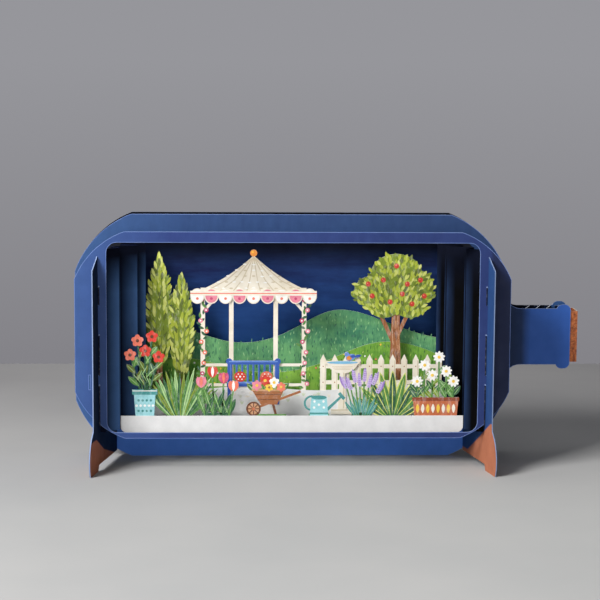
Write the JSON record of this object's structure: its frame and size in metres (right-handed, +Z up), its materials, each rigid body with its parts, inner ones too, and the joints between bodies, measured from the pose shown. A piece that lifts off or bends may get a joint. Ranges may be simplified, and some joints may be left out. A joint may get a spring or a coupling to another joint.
{
  "type": "pop-up greeting card",
  "caption": "Flat-folding paper greeting card in the shape of a bottle lying on its side, opened as a tunnel with a window, a layered garden scene inside and two small feet.",
  "frame": {"origin": "centre of the bottom of the object's box, on the table", "axes": "+X along the bottle towards the cork, +Y from the window to the back, +Z up"},
  "size_m": [0.2518, 0.064, 0.122],
  "materials": {
    "blue_card": "matte printed card, blue",
    "sky_card": "matte printed card, night blue",
    "cork_print": "matte printed card, cork pattern",
    "white_card": "matte white card",
    "hill_print": "matte printed card, green hills",
    "foliage_print": "matte printed card, lime leaves",
    "trunk_print": "matte printed card, bark",
    "cream_card": "matte cream card",
    "bench_print": "matte printed card, blue",
    "plant_print": "matte printed card, plants and flowers",
    "trough_print": "matte printed card, pale teal"
  },
  "bodies": {
    "root": {"back_cover": "sky_card", "birdbath": "cream_card", "cork_band": "cork_print", "daisy_pot": "plant_print", "far_hills": "hill_print", "front_floor_strip": "white_card", "front_frame": "blue_card", "garden_bench": "bench_print", "lavender_clump": "plant_print", "left_front_pleat": "blue_card", "left_rear_pleat": "blue_card", "left_stand": "blue_card", "left_tree_trunks": "trunk_print", "middle_frame": "blue_card", "near_hill": "hill_print", "neck_rib_1": "blue_card", "neck_rib_2": "blue_card", "neck_rib_3": "blue_card", "neck_rib_4": "blue_card", "pavilion_posts": "cream_card", "pavilion_roof": "cream_card", "picket_fence": "cream_card", "poppy_trough": "trough_print", "right_front_pleat": "blue_card", "right_rear_pleat": "blue_card", "right_stand": "blue_card", "right_tree_crown": "foliage_print", "right_tree_trunk": "trunk_print", "roof_valance": "cream_card", "second_floor_strip": "white_card", "short_poplar_crown": "foliage_print", "striped_plant": "plant_print", "tall_grass": "plant_print", "tall_poplar_crown": "foliage_print", "tulip_clump": "plant_print", "watering_can": "trough_print", "wheelbarrow": "plant_print"}
  },
  "joints": []
}
